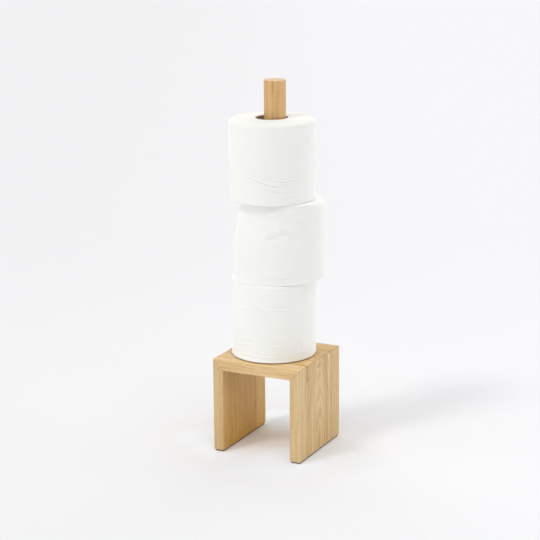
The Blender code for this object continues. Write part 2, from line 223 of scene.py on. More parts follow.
class Surface(Graph):
    """The nodes of a new material."""

    def __init__(self, name):
        self.material = bpy.data.materials.new(name)
        self.material.use_nodes = True
        super().__init__(self.material.node_tree)

    def finished(self, looks):
        shader = self.tree.nodes["Principled BSDF"]
        for name, value in looks.items():
            self.feed(shader.inputs[name], value)
        return self.material

    def coated(self, colour, roughness, relief, distance, looks=()):
        """The material with these looks, and its relief in units of the distance given."""
        bump = self.node("ShaderNodeBump", {"Strength": 1.0, "Distance": distance, "Height": relief})
        looks = {"Base Color": colour, "Roughness": roughness, "Normal": bump.outputs[0], **dict(looks)}
        return self.finished(looks)


def object_place(graph):
    return graph.node("ShaderNodeTexCoord").outputs["Object"]


def camera_axes(graph, x, y):
    """How far to the right and how far away a point lies in plan, seen from the camera's side."""
    turn = math.radians(CAMERA_TURN_DEG)
    side = graph.add(graph.scaled(x, math.cos(turn)), graph.scaled(y, math.sin(turn)))
    away = graph.add(graph.scaled(y, math.cos(turn)), graph.scaled(x, -math.sin(turn)))
    return side, away


def add_object(name, data):
    item = bpy.data.objects.new(name, data)
    bpy.context.scene.collection.objects.link(item)
    return item


# Oak

RING_WIDTH = 0.003
FAT_YEARS_RATE = 0.17  # waves of wide and narrow rings in a year
FAT_YEARS = 2.6
SPRING_SHARES = (0.0, 0.16, 0.22, 0.8)  # of a year: open wood starts, is full, wanes, ends
FAINT_RING_SHARE = 0.25  # of a strong ring's tone
SUMMER_PORE_SHARE = 0.15  # of the pores in the open wood
PORE_SIZE = (0.0003, 0.008)  # across the grain and along it
RAY_SIZE = (0.00032, 0.009, 0.005)  # round the rings, across them, along the grain
FIBRE_SIZE = (0.00045, 0.026)
LINE_SIZE = (0.0017, 0.11)
FINE_SIZE = (0.0008, 0.045)
STRIPE_SIZE = (0.0052, 0.2)
CLOUD_SIZE = (0.02, 0.07)
SWAY_SIZE = (0.05, 0.15)
SWAY = 0.007
RIPPLE_SIZE = (0.009, 0.03)
RIPPLE = 0.0028
FRAY_SIZE = (0.0017, 0.01)
FRAY = 0.0009
BAND_SWAY = 0.0016
RING_ARC_RADIUS = 0.04  # where a ray's width is measured
# A range is the part of a noise over which a mark goes from nothing to full.
RAY_RANGE = (0.6, 0.74)
PORE_RANGE = (0.56, 0.68)
LINE_RANGE = (0.52, 0.68)
FINE_RANGE = (0.5, 0.66)
# What each kind of mark adds to the tone, which goes from 0 for pale wood to 1 for deep. A pair is
# the gain and the lift of its noise.
LINE_TONE_SHARES = (0.8, -0.2)  # of a board's stripes
STRIPE_TONE_SHARE = 2.4
FINE_TONE = (0.26, -0.08)
CLOUD_TONE = 0.5
FIBRE_TONE = 0.55
PORE_SHARE = 0.45  # how far a pore takes the dark colour
RAY_SHARE = 0.18  # how far a ray takes the light colour
DARK_SHARES = (0.56, 0.5, 0.44)  # of the deep colour
LIGHT_SHARES = (1.05, 1.06, 1.08)  # of the pale colour
END_FACING = (0.75, 0.95)  # how upright a face is where end grain's tint starts and is full
END_TINT_SHARE = 0.7
OAK_ROUGHNESS = 0.5
PORE_ROUGHNESS = 0.2
FIBRE_ROUGHNESS = 0.1
PORE_RELIEF = 0.00005
FIBRE_RELIEF_SHARE = 0.5  # of a pore's depth
RING_RELIEF_SHARE = -0.3

# The base is cut from one board, folded at the mitres, so that its grain runs on round the
# corners. Places on it are along the board from the middle of the top, across it, and into it
# from its outer face.
ARCH_SPREAD = (0.022, 0.05)  # from the pith, where the swing of its depth starts to fade
ARCH_PERIOD = 0.42
ARCH_START = -0.02
# Bands are across the board, half width, how much darker, and at choice the places along the
# board where a band is full and where it has gone.
BAND_EDGE_SHARES = (0.4, 1.6)  # of the half width, where a band starts to fade and where it ends
TOP_BANDS = (
    (-0.06, 0.003, -0.14), (0.03, 0.05, 0.34), (0.037, 0.0016, 0.24), (0.02, 0.0012, 0.14),
    (-0.012, 0.0014, 0.12), (0.0, 0.1, 0.12, -0.05, -0.02),
)
RIGHT_BANDS = (
    (-0.053, 0.0065, -0.12), (-0.0375, 0.0036, 0.18), (-0.027, 0.0012, 0.1),
    (-0.015, 0.004, -0.1, 0.1, 0.15), (0.0125, 0.0034, 0.16), (0.02, 0.0026, 0.2),
    (0.028, 0.0026, -0.14), (0.037, 0.0016, 0.2, 0.1, 0.15), (0.048, 0.014, 0.06),
)
LEFT_BANDS = (
    (-0.06, 0.003, -0.1), (-0.047, 0.0014, -0.14), (-0.0386, 0.008, 0.1),
    (-0.033, 0.0013, -0.14), (-0.0294, 0.0015, 0.22), (-0.021, 0.0015, -0.12),
    (-0.0184, 0.0015, 0.22), (-0.011, 0.003, 0.14), (0.006, 0.0016, 0.16), (0.016, 0.0016, 0.1),
    (0.018, 0.016, 0.14), (0.0306, 0.0018, 0.26), (0.048, 0.013, -0.1), (0.044, 0.0012, 0.14),
)
POST_BANDS = (
    (-0.0128, 0.003, 0.26), (-0.0098, 0.0014, 0.12), (-0.0058, 0.0022, -0.16),
    (0.003, 0.005, -0.08), (0.012, 0.0032, -0.1), (-0.003, 0.0018, 0.34, 0.476, 0.46),
)
# Bands on the front edges are into the board from its outer face, half width, how much darker.
TOP_EDGE_BANDS = ((0.0009, 0.0014, 0.2), (0.0108, 0.0026, 0.2))
LEFT_EDGE_BANDS = ((0.0012, 0.0012, 0.08), (0.0078, 0.002, 0.06))
RIGHT_EDGE_BANDS = ((0.0034, 0.0016, -0.12), (0.01, 0.003, 0.16))
EDGE_FADE = (-0.0611, -0.0603)  # across the board, where the bands of the front edge fade
EDGE_LINE_SIZE = (0.0016, 0.08)
EDGE_LINE_RAMP = (0.52, 0.66, -0.05, 0.24)  # range of the noise, then tone at its two ends
INNER_EDGE = (0.0095, 0.015)  # into the right leg, where its front edge darkens
HEART_DEPTH = (0.003, 0.013)  # into the left leg, where its wood grows warmer
HEART_FADE = (-0.03, 0.05)  # across the board, where that warmth wanes
HEART_FAR_SHARE = 0.85
HEART_RISE_SHARES = (0.62, 1.12)  # above the rise of the foot, and at its end
FOOT_RISE = (0.105, 0.19)  # along the board, where the legs darken towards their feet
FRONT_FADE = (-0.0608, -0.054)  # across the board, where the tint of the front edge fades
FRONT_SHARE = 0.45  # of either tint on the front edge
STREAK_ACROSS = -0.0388
STREAK_WIDTH = 0.0011
STREAK_EDGE_SHARES = (0.4, 1.3)  # of that width
STREAK_ALONG = (0.03, 0.046, 0.082, 0.0855)  # starts, is full, fades, ends
STREAK_DEPTH = 0.003
STREAK_SHARE = 0.9  # how far it takes the dark colour


def board_place(graph, fold):
    """Along, across and into the board. Fold is -1 for the left leg, 0 for the top, 1 for the right."""
    x, y, z = graph.split(object_place(graph))
    half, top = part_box("right_leg")[1].x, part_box("top_board")[1].z
    down = graph.scaled(z, -1.0, top)
    if fold == 0:
        return x, y, down
    return graph.scaled(down, fold, fold * half), y, graph.scaled(x, -fold, half)


def post_place(graph):
    """Along the post, then to the right and away as the camera's side sees it."""
    x, y, z = graph.split(object_place(graph))
    return z, *camera_axes(graph, x, y)


def spline_place(graph):
    x, y, z = graph.split(object_place(graph))
    return y, x, z


def grain_field(graph, place, seed):
    """A function that gives noise drawn out along the grain, of a size across and along it."""
    along, side, depth = place

    def field(size, detail=2.0, roughness=0.5, shift=0.0):
        width, length = size
        return graph.noise(graph.vector(
            graph.scaled(side, 1 / width, seed + shift),
            graph.scaled(depth, 1 / width, seed - shift),
            graph.scaled(along, 1 / length, shift),
        ), detail, roughness)

    return field


def arched_pith(graph, along, side, pith):
    """The depth of the pith, which swings along the board where a face shows arches."""
    across, low, high = pith
    turn = math.tau / ARCH_PERIOD
    wave = graph.math("COSINE", graph.scaled(along, turn, -turn * ARCH_START))
    swing = graph.scaled(wave, (high - low) / 2, (high - low) / 2)
    return graph.add(graph.multiply(swing, graph.fade(graph.off(side, across), *ARCH_SPREAD)), low)


def growth_rings(graph, place, field, pith, ring_width, seed):
    """How far a point lies from the pith and in what direction, how open its wood is and how dark."""
    along, side, depth = place
    sway = graph.swing(field(SWAY_SIZE, detail=1.0, shift=3.0), SWAY)
    over = graph.add(side, -pith[0], sway)
    into = graph.add(arched_pith(graph, along, side, pith), graph.scaled(depth, -1.0), sway)
    distance = graph.length(over, into)
    ripple = graph.swing(field(RIPPLE_SIZE), RIPPLE)
    fray = graph.swing(field(FRAY_SIZE, detail=1.0), FRAY)
    bend = graph.scaled(graph.add(ripple, fray), ring_width / RING_WIDTH)
    years = graph.scaled(graph.add(distance, bend), 1 / ring_width)
    fat_years = graph.noise(graph.vector(graph.scaled(years, FAT_YEARS_RATE, seed), 0.0, 0.0), 1.0)
    years = graph.add(years, graph.scaled(fat_years, FAT_YEARS))
    year = graph.math("FLOOR", years)
    season = graph.math("FRACT", years)
    strength = graph.node("ShaderNodeTexWhiteNoise", {"W": year}, noise_dimensions="1D").outputs[0]
    start, full, wane, end = SPRING_SHARES
    spring = graph.multiply(graph.ramp(season, start, full), graph.fade(season, wane, end))
    ring = graph.multiply(spring, graph.scaled(strength, 1 - FAINT_RING_SHARE, FAINT_RING_SHARE))
    return distance, graph.math("ARCTAN2", over, into), spring, ring


def strip(graph, off, half_width, strength, edge_shares=BAND_EDGE_SHARES):
    """Soft-edged, at full strength where off is small."""
    low, high = edge_shares
    return graph.fade(off, low * half_width, high * half_width, strength)


def band_tone(graph, along, wavy, band):
    """What one long band adds to the tone."""
    centre, half_width, strength, *ends = band
    tone = strip(graph, graph.off(wavy, centre), half_width, strength)
    return graph.multiply(tone, graph.fade(along, *ends)) if ends else tone


def edge_tone(graph, place, wavy, bands):
    """What the lines and bands of a board's front edge add to the tone."""
    along, side, depth = place
    width, length = EDGE_LINE_SIZE
    lines = graph.vector(graph.scaled(depth, 1 / width), graph.scaled(along, 1 / length), 0.0)
    tone = graph.ramp(graph.noise(lines, 2.0), *EDGE_LINE_RAMP)
    for centre, half_width, strength in bands:
        off = graph.off(graph.add(depth, wavy, graph.scaled(side, -1.0)), centre)
        tone = graph.add(tone, strip(graph, off, half_width, strength))
    return graph.multiply(tone, graph.fade(side, *EDGE_FADE))


def heart_share(graph, place):
    """How warm the left leg's inner wood is: less at its front edge and far off, more low down."""
    along, side, depth = place
    return graph.clamped(graph.multiply(
        graph.ramp(depth, *HEART_DEPTH),
        graph.ramp(side, *FRONT_FADE, FRONT_SHARE, 1.0),
        graph.ramp(side, *HEART_FADE, 1.0, HEART_FAR_SHARE),
        graph.ramp(graph.off(along), *FOOT_RISE, *HEART_RISE_SHARES),
    ))


def streak_share(graph, place):
    """One short dark streak, which runs round the corner from the top board to the right leg."""
    along, side, depth = place
    start, full, wane, end = STREAK_ALONG
    return graph.multiply(
        strip(graph, graph.off(side, STREAK_ACROSS), STREAK_WIDTH, 1.0, STREAK_EDGE_SHARES),
        graph.ramp(along, start, full),
        graph.fade(along, wane, end),
        graph.fade(depth, 0.0, STREAK_DEPTH, STREAK_SHARE),
    )


def oak(name, place, pith, pale, deep, stripes, rings, base, seed, bands=(), edge_bands=(),
        foot=0.0, inner=0.0, heart_tint=None, front_tint=None, end_tint=None, streak=False,
        ring_width=RING_WIDTH):
    """Sawn oak as a solid texture, so that faces, edges and end grain of a board agree.

    Growth rings are cylinders about the pith, a line beside or below the face at (across, least
    depth, greatest depth). They draw arches where a face cuts them at a glance and straight lines
    elsewhere.
    """
    graph = Surface(name)
    here = place(graph)
    along, side, depth = here
    field = grain_field(graph, here, seed)
    distance, angle, spring, ring = growth_rings(graph, here, field, pith, ring_width, seed)

    rays = graph.ramp(graph.noise(graph.vector(
        graph.scaled(angle, RING_ARC_RADIUS / RAY_SIZE[0], seed),
        graph.scaled(distance, 1 / RAY_SIZE[1]),
        graph.scaled(along, 1 / RAY_SIZE[2]),
    ), 1.0), *RAY_RANGE)
    pores = graph.multiply(
        graph.ramp(field(PORE_SIZE, detail=1.0, shift=11.0), *PORE_RANGE),
        graph.scaled(spring, 1 - SUMMER_PORE_SHARE, SUMMER_PORE_SHARE),
    )
    fibre = field(FIBRE_SIZE, detail=3.0, roughness=0.6, shift=5.0)
    lines = graph.ramp(field(LINE_SIZE, roughness=0.6, shift=23.0), *LINE_RANGE)
    fine_lines = graph.ramp(field(FINE_SIZE, detail=1.0, shift=31.0), *FINE_RANGE)
    line_gain, line_lift = LINE_TONE_SHARES
    tones = [
        graph.scaled(ring, rings, base),
        graph.scaled(lines, stripes * line_gain, stripes * line_lift),
        graph.scaled(fine_lines, *FINE_TONE),
        graph.swing(field(STRIPE_SIZE, roughness=0.6, shift=13.0), stripes * STRIPE_TONE_SHARE),
        graph.swing(field(CLOUD_SIZE, detail=1.0, shift=17.0), CLOUD_TONE),
        graph.swing(fibre, FIBRE_TONE),
    ]
    wavy = graph.add(side, graph.swing(field(SWAY_SIZE, shift=29.0), 2 * BAND_SWAY))
    tones += [band_tone(graph, along, wavy, band) for band in bands]
    if edge_bands:
        tones.append(edge_tone(graph, here, wavy, edge_bands))
    if foot:
        tones.append(graph.ramp(graph.off(along), *FOOT_RISE, 0.0, foot))
    if inner:
        tones.append(graph.ramp(depth, *INNER_EDGE, 0.0, inner))

    colour = graph.mix(graph.clamped(*tones), pale, deep)
    dark = tuple(part * share for part, share in zip(deep, DARK_SHARES))
    light = tuple(part * share for part, share in zip(pale, LIGHT_SHARES))
    if heart_tint:
        colour = graph.mix(heart_share(graph, here), colour, graph.tinted(colour, heart_tint))
    if front_tint:
        colour = graph.mix(graph.fade(side, *FRONT_FADE, FRONT_SHARE), colour, front_tint)
    if streak:
        colour = graph.mix(streak_share(graph, here), colour, dark)
    colour = graph.mix(graph.scaled(pores, PORE_SHARE), colour, dark)
    colour = graph.mix(graph.scaled(rays, RAY_SHARE), colour, light)
    if end_tint:
        normal = graph.node("ShaderNodeTexCoord").outputs["Normal"]
        upright = graph.off(graph.split(normal)[2])
        colour = graph.mix(graph.ramp(upright, *END_FACING, 0.0, END_TINT_SHARE), colour, end_tint)
    rough = graph.add(
        graph.scaled(pores, PORE_ROUGHNESS, OAK_ROUGHNESS), graph.scaled(fibre, FIBRE_ROUGHNESS),
    )
    relief = graph.add(
        graph.scaled(pores, -1.0),
        graph.scaled(fibre, FIBRE_RELIEF_SHARE),
        graph.scaled(ring, RING_RELIEF_SHARE),
    )
    return graph.coated(colour, rough, relief, PORE_RELIEF)


# Card, rubber and metal

def round_axes(graph, centre):
    """The angle in turns, the radius and the height about an upright axis."""
    x, y, z = graph.split(object_place(graph))
    x, y = graph.add(x, -centre[0]), graph.add(y, -centre[1])
    return graph.scaled(graph.math("ARCTAN2", y, x), 1 / math.tau), graph.length(x, y), z


# A pair for a tone or a roughness is the gain and the lift of its noise.
CARD_PALE = (0.47, 0.33, 0.2)
CARD_DEEP = (0.3, 0.19, 0.105)
CARD_SEAM_RISE = 0.12  # how far a seam climbs in one turn
CARD_SEAM_SHARE = 0.012  # of a turn
CARD_FIBRE_SIZE = (0.0006, 0.0035)
CARD_FIBRE_TONE = (1.5, -0.25)
CARD_SEAM_TONE = 0.8
CARD_ROUGHNESS = (0.12, 0.82)
CARD_RELIEF = 0.00006
CARD_SEAM_RELIEF_SHARE = -2.0


def cardboard(name, centre):
    """Grey-brown card wound in a spiral, with a seam that climbs round the tube."""
    graph = Surface(name)
    turn, radius, height = round_axes(graph, centre)
    climb = graph.math("FRACT", graph.add(turn, graph.scaled(height, 1 / CARD_SEAM_RISE), 1.0))
    seam = graph.fade(climb, 0.0, CARD_SEAM_SHARE)
    arc = graph.scaled(turn, math.tau * PAPER_BORE_RADIUS)
    width, length = CARD_FIBRE_SIZE
    fibre = graph.noise(graph.vector(
        graph.scaled(arc, 1 / length),
        graph.scaled(height, 1 / width),
        graph.scaled(radius, 1 / width),
    ), 4.0, 0.65)
    tone = graph.clamped(graph.scaled(fibre, *CARD_FIBRE_TONE), graph.scaled(seam, CARD_SEAM_TONE))
    colour = graph.mix(tone, CARD_PALE, CARD_DEEP)
    relief = graph.add(fibre, graph.scaled(seam, CARD_SEAM_RELIEF_SHARE))
    return graph.coated(colour, graph.scaled(fibre, *CARD_ROUGHNESS), relief, CARD_RELIEF)


PAD_PALE = (0.2, 0.17, 0.145)
PAD_DEEP = (0.13, 0.108, 0.09)
PAD_GRAIN = 0.0008
PAD_CLOUD = 0.0125
PAD_GRAIN_TONE = 0.5
PAD_CLOUD_TONE = 0.4
PAD_ROUGHNESS = (0.15, 0.75)
PAD_RELIEF = 0.00008


def rubber(name):
    """A thin strip of dense foam rubber with an open, pebbled skin."""
    graph = Surface(name)
    place = object_place(graph)
    cells = graph.node("ShaderNodeTexVoronoi", {"Vector": place, "Scale": 1 / PAD_GRAIN})
    grain = cells.outputs["Distance"]
    cloud = graph.noise(graph.times(place, 1 / PAD_CLOUD), 3.0)
    tone = graph.clamped(graph.scaled(grain, PAD_GRAIN_TONE), graph.scaled(cloud, PAD_CLOUD_TONE))
    colour = graph.mix(tone, PAD_PALE, PAD_DEEP)
    return graph.coated(colour, graph.scaled(cloud, *PAD_ROUGHNESS), grain, PAD_RELIEF)


TURNED_LINE = 0.00018
TURNED_LINES_ROUND = 2.0  # in one turn
SPOTS_PER_METRE = 900.0
SPOTS_ROUND = 12.0
SPOT_RANGE = (0.35, 0.75)
TURNED_ROUGHNESS_GAIN = 0.18
METAL_RELIEF = 0.000012


def turned_metal(name, pale, deep, roughness):
    """Metal with the fine lines of a lathe round its axis and faint spots."""
    graph = Surface(name)
    turn, radius, height = round_axes(graph, (0.0, 0.0))

    def marks(rate, round_rate):
        return graph.vector(
            graph.scaled(radius, rate), graph.scaled(height, rate), graph.scaled(turn, round_rate),
        )

    lines = graph.noise(marks(1 / TURNED_LINE, TURNED_LINES_ROUND), 2.0)
    spots = graph.noise(marks(SPOTS_PER_METRE, SPOTS_ROUND), 3.0, 0.6)
    colour = graph.mix(graph.ramp(spots, *SPOT_RANGE), pale, deep)
    rough = graph.scaled(lines, TURNED_ROUGHNESS_GAIN, roughness)
    return graph.coated(colour, rough, lines, METAL_RELIEF, {"Metallic": 1.0})


# Tissue paper

PAPER_PALE = (0.92, 0.93, 0.892)
PAPER_DEEP = (0.912, 0.921, 0.882)
CREPE_SIZE = (0.0005, 0.005)  # across a crepe ridge and along it
TISSUE_CLOUD = 0.01
TISSUE_FIBRE = 0.0009
TISSUE_GRAIN_ROUGHNESS = 0.55
CLOUD_RANGE = (0.35, 0.7)
TURN_WANDER = 1.4  # in turns
HOLE_PITCH = 0.0042  # along a row of perforations
HOLE_SHARE = 0.76  # of the pitch
HOLE_WIDTH = 0.00035
ROW_SHARES = (0.8, 0.2)  # of a row's strength, what a hole adds and what is between holes
# how far a row of perforations takes the deep tone: painted shade in its slits
ROW_TONE = 0.6
TISSUE_ROUGHNESS = (0.1, 0.88)
PAPER_RELIEF = 0.00007  # of the crepe, with the others as shares of it
TISSUE_FIBRE_SHARE = 0.8
TURN_RELIEF_SHARE = 0.45
ROW_RELIEF_SHARE = -1.1
TISSUE_LOOKS = {
    "Specular IOR Level": 0.2,
    "Subsurface Weight": 0.35,
    "Subsurface Radius": (1.0, 0.95, 0.85),
    "Subsurface Scale": 0.003,
}


def tissue(name):
    """Soft creped tissue, with rows of perforations and the lines of its turns on the end faces."""
    graph = Surface(name)
    place = object_place(graph)
    arc, rise, radius = graph.split(graph.attribute("wrap").outputs["Vector"])
    end_face = graph.attribute("end_face").outputs["Fac"]

    def grains(size, detail=2.0):
        return graph.noise(graph.times(place, 1 / size), detail, TISSUE_GRAIN_ROUGHNESS)

    crepe = graph.noise(graph.vector(
        graph.scaled(arc, 1 / CREPE_SIZE[0]), graph.scaled(rise, 1 / CREPE_SIZE[1]), 0.0,
    ), 2.0)
    fibre = grains(TISSUE_FIBRE, 3.0)
    cloud = grains(TISSUE_CLOUD)
    wander = graph.scaled(grains(TISSUE_CLOUD * 2), TURN_WANDER)
    winding = graph.add(graph.scaled(radius, 1 / TURN_PITCH), wander)
    turns = graph.math("SINE", graph.scaled(winding, math.tau))
    sheet = graph.math("FRACT", graph.scaled(arc, 1 / SHEET_LENGTH, 0.5))
    off_line = graph.off(graph.swing(sheet, SHEET_LENGTH))
    spot = graph.math("FRACT", graph.scaled(rise, 1 / HOLE_PITCH))
    hole = graph.math("LESS_THAN", spot, HOLE_SHARE)
    on_side = graph.scaled(end_face, -1.0, 1.0)
    row = graph.multiply(
        graph.fade(off_line, 0.0, HOLE_WIDTH),
        on_side,
        graph.math("GREATER_THAN", arc, SHEET_LENGTH / 2),
        graph.scaled(hole, *ROW_SHARES),
    )

    # the rows of perforations darken the tone a little, most at their slits: painted shade in the cuts
    tone = graph.clamped(graph.ramp(cloud, *CLOUD_RANGE), graph.scaled(row, ROW_TONE))
    colour = graph.mix(tone, PAPER_PALE, PAPER_DEEP)
    relief = graph.add(
        graph.multiply(crepe, on_side),
        graph.scaled(fibre, TISSUE_FIBRE_SHARE),
        graph.multiply(graph.scaled(turns, TURN_RELIEF_SHARE), end_face),
        graph.scaled(row, ROW_RELIEF_SHARE),
    )
    rough = graph.scaled(fibre, *TISSUE_ROUGHNESS)
    return graph.coated(colour, rough, relief, PAPER_RELIEF, TISSUE_LOOKS)


# The rolls' shape

# A crease is its depth, its width and the (degrees from the camera's side, height) points that it
# runs through. A depth below zero makes a ridge.
TOP_CREASES = (
    (0.00052, 0.0008, ((-38, 0.035), (-23, 0.0298), (-9.5, 0.0252), (3.4, 0.0221), (13, 0.0228))),
    (0.00036, 0.0007, ((-12, 0.0345), (-5.6, 0.0323), (4, 0.029), (14, 0.0283), (38, 0.0292))),
    (0.0003, 0.0008, ((-8, 0.0185), (3.3, 0.0157), (14, 0.014), (38, 0.0138))),
    (0.00008, 0.0014, ((-40, 0.066), (-20, 0.064), (10, 0.0645), (38, 0.067))),
    (0.00007, 0.0016, ((-34, 0.078), (-12, 0.0765), (22, 0.079))),
    (0.00007, 0.0015, ((-16, 0.088), (8, 0.0862), (36, 0.0872))),
    (0.00008, 0.0013, ((-48, 0.041), (-34, 0.0395), (-20, 0.04))),
)
MIDDLE_CREASES = (
    (0.00085, 0.004, (
        (-21, 0.058), (-17, 0.0593), (-8, 0.062), (1, 0.0645), (10, 0.0658), (15, 0.0662),
    )),
    (0.0002, 0.0008, ((4, 0.06), (10, 0.0636), (16, 0.0655))),
    (0.00026, 0.0009, ((-30, 0.0115), (-20, 0.009), (-11, 0.0062), (-2, 0.0072))),
    (0.00018, 0.0008, ((-4, 0.0106), (2.8, 0.0082), (10.6, 0.0102), (18, 0.0108))),
    (0.00012, 0.0012, ((6, 0.094), (17.7, 0.0936), (30, 0.0905))),
    (0.00012, 0.001, ((14, 0.0812), (27.6, 0.0798), (40, 0.081))),
    (0.00012, 0.0014, ((-16, 0.029), (-2, 0.028), (12, 0.03))),
    (0.0001, 0.0016, ((-40, 0.0735), (-28, 0.0742), (-14, 0.073))),
    (0.00012, 0.0012, ((-2, 0.045), (8, 0.044), (22, 0.0455))),
    (0.0001, 0.0012, ((0, 0.0375), (10, 0.0365), (24, 0.037))),
)
BOTTOM_CREASES = (
    (-0.0006, 0.0009, (
        (-72, 0.063), (-62, 0.0659), (-51, 0.0695), (-36, 0.07), (-25, 0.0676), (-18, 0.0656),
        (-8, 0.0628),
    )),
    (-0.00038, 0.0008, ((-15, 0.0715), (-1, 0.0711), (7, 0.0706), (15, 0.0702), (26, 0.0697))),
    (-0.00036, 0.0008, ((-2, 0.066), (11, 0.0665), (21, 0.0686), (26, 0.0694))),
    (0.00014, 0.001, ((-14, 0.0965), (2, 0.0945), (20, 0.095))),
    (0.00012, 0.001, ((-18, 0.0858), (-4, 0.0843), (14, 0.085))),
    (-0.0004, 0.001, ((-68, 0.017), (-60, 0.0185), (-45, 0.0222), (-36, 0.0225))),
    (0.00014, 0.0012, ((-36, 0.0352), (-27, 0.0345), (-19, 0.035))),
    (-0.00034, 0.0008, ((-14, 0.0232), (-8, 0.0231), (8, 0.0229))),
    (0.0001, 0.0012, ((-2, 0.0448), (7, 0.044), (18, 0.0452))),
    (0.0003, 0.0012, ((-84, 0.0062), (-60, 0.0064), (-36, 0.0052), (-14, 0.0046), (4, 0.0052))),
    (0.00022, 0.0014, ((-50, 0.012), (-30, 0.0105), (-10, 0.0092), (6, 0.0094))),
)
BOTTOM_DIMPLES = (  # degrees, height, half width, half height, depth
    (12, 0.0175, 0.0016, 0.005, 0.0004), (23, 0.015, 0.0018, 0.0036, 0.0005),
    (36, 0.0205, 0.0022, 0.0045, 0.0004), (52, 0.024, 0.0026, 0.004, 0.0003),
    (-18, 0.0155, 0.003, 0.0022, 0.0003), (-37, 0.025, 0.005, 0.0024, 0.0004),
)
MIDDLE_DIMPLES = (
    (-12, 0.0612, 0.005, 0.0022, 0.0004), (0, 0.073, 0.0022, 0.001, -0.0003),
    (10, 0.067, 0.0018, 0.0009, -0.0003), (14, 0.0696, 0.0018, 0.0009, -0.0003),
    (8, 0.0112, 0.0022, 0.0009, -0.0003), (3, 0.007, 0.0024, 0.0022, 0.0004),
    (17, 0.0905, 0.003, 0.0012, 0.0003), (28, 0.077, 0.003, 0.0014, 0.0003),
)
# An oval is (how far it reaches past the circle, degrees in plan). The foot, the shoulder, the
# spread and the lip are (size to one side, size elsewhere, degrees of the first, how far round it
# reaches), with degrees from the camera's side and to the right. Creases and dimples move up by
# the mark rise, and their degrees are spread by the mark share.
ROLLS = (
    SimpleNamespace(
        name="bottom_roll", height=0.1025, oval=(0.0016, 116), crown=0.0003, fall=-0.00015,
        foot=(0.0007, 0.0007, 0, 120), shoulder=(0.0024, 0.003, -70, 120),
        spread=(0.003, 0.0, -90, 120), spread_height=0.021, foot_lift=0.0011,
        lip=(0.0011, 0.0003, -45, 115), squeeze=0.0, tail_deg=95,
        creases=BOTTOM_CREASES, dimples=BOTTOM_DIMPLES, mark_rise=0.0008, mark_share=0.96,
        crumple=0.000055, seed=41,
    ),
    SimpleNamespace(
        name="middle_roll", height=0.1037, oval=(0.0037, 26), crown=0.0, fall=-0.0002,
        foot=(0.0065, 0.0003, 95, 62), shoulder=(0.011, 0.0014, 88, 62),
        spread=(0.0019, 0.0, -85, 85), spread_height=0.013, foot_lift=-0.0001,
        lip=(0.001, 0.0, -80, 120), squeeze=0.0047, tail_deg=60,
        creases=MIDDLE_CREASES, dimples=MIDDLE_DIMPLES, mark_rise=-0.0003, mark_share=1.12,
        crumple=0.00008, seed=42,
    ),
    SimpleNamespace(
        name="top_roll", height=0.104, oval=(0.0002, 26), crown=0.0004, fall=0.0013,
        foot=(0.0026, 0.0006, -92, 120), shoulder=(0.0032, 0.0032, 0, 120),
        spread=(0.0, 0.0, 0, 120), spread_height=0.02, foot_lift=0.0,
        lip=(0.0, 0.0, 0, 120), squeeze=0.0, tail_deg=120,
        creases=TOP_CREASES, dimples=(), mark_rise=0.0018, mark_share=1.0,
        crumple=0.00005, seed=43,
    ),
)
SQUEEZE_RISE = (0.042, 0.105)  # where the squeeze from one side starts and is full
LIP_WIDTH = 0.0022
NOISE_REACH = 1.7  # of a soft noise's values, which their blending flattens to about 1
SWELL_HEIGHTS = (0.0005, 0.0001)  # after them come a roll's crumple and a share of it
FINE_CRUMPLE_SHARE = 0.6
SWELL_CELLS = ((5, 3), (9, 11), (24, 36), (56, 70))  # round the roll and up it
RUFFLE_CELLS = (40, 9)
RUFFLE_SHARE = 0.6  # of the last sheet's lift
CREASE_FADE_DEG = 5.0  # at either end of a crease
CREASE_STEPS = 60
CREASE_ROUNDING = 11  # how many steps a bend is rounded over, an odd number
# Each groove has a lip above it: its height as a share of the depth, and how far up it lies and
# how wide it is as shares of the groove's width.
CREASE_LIP_SHARES = (0.7, 2.0, 1.6)
DIMPLE_LIP_SHARES = (0.5, 1.7, 1.0)
PUCKER_LIP_SHARES = (0.5, 1.8, 1.4)
PUCKERS = 60
PUCKER_RISE_SHARES = (0.06, 0.94)  # of the roll's height
PUCKER_LENGTH = (0.004, 0.016)
PUCKER_WIDTH = (0.0008, 0.0018)
PUCKER_TILT = 0.22
PUCKER_DEPTH_SHARES = (0.3, 1.0)
PUCKER_SHARE = 2.2  # of a roll's crumple, how deep the deepest one is


def smooth(share):
    share = np.clip(share, 0.0, 1.0)
    return share * share * (3.0 - 2.0 * share)


def spline_weights(place, cells, closed):
    """How much each of a row of values adds at each place, from 0 to 1, on a cubic B-spline."""
    spot = np.asarray(place) * cells
    first = np.clip(np.floor(spot), 0, cells if closed else cells - 1).astype(int)
    t = spot - first
    parts = (
        (1 - t) ** 3 / 6,
        (3 * t ** 3 - 6 * t ** 2 + 4) / 6,
        (-3 * t ** 3 + 3 * t ** 2 + 3 * t + 1) / 6,
        t ** 3 / 6,
    )
    width = cells if closed else cells + 3
    weights = np.zeros((len(spot), width))
    for offset, part in enumerate(parts):
        column = (first + offset) % cells if closed else first + offset
        np.add.at(weights, (np.arange(len(spot)), column), part)
    return weights


def soft_noise(random, turn_share, rise_share, round_cells, rise_cells):
    """A smooth random field over the roll's side, about -1 to 1, that meets itself after a turn."""
    values = random.uniform(-NOISE_REACH, NOISE_REACH, (round_cells, rise_cells + 3))
    round_weights = spline_weights(turn_share % 1.0, round_cells, True)
    rise_weights = spline_weights(rise_share, rise_cells, False)
    return round_weights @ values @ rise_weights.T


def wrapped(value, period=360):
    """Brings a value that goes round to within half a period of 0."""
    return (value + period / 2) % period - period / 2


def lobe(facing, middle, half_width):
    """1 in one direction, falling smoothly to 0 at the half width to either side."""
    return smooth(1 - np.abs(wrapped(facing - middle)) / half_width)


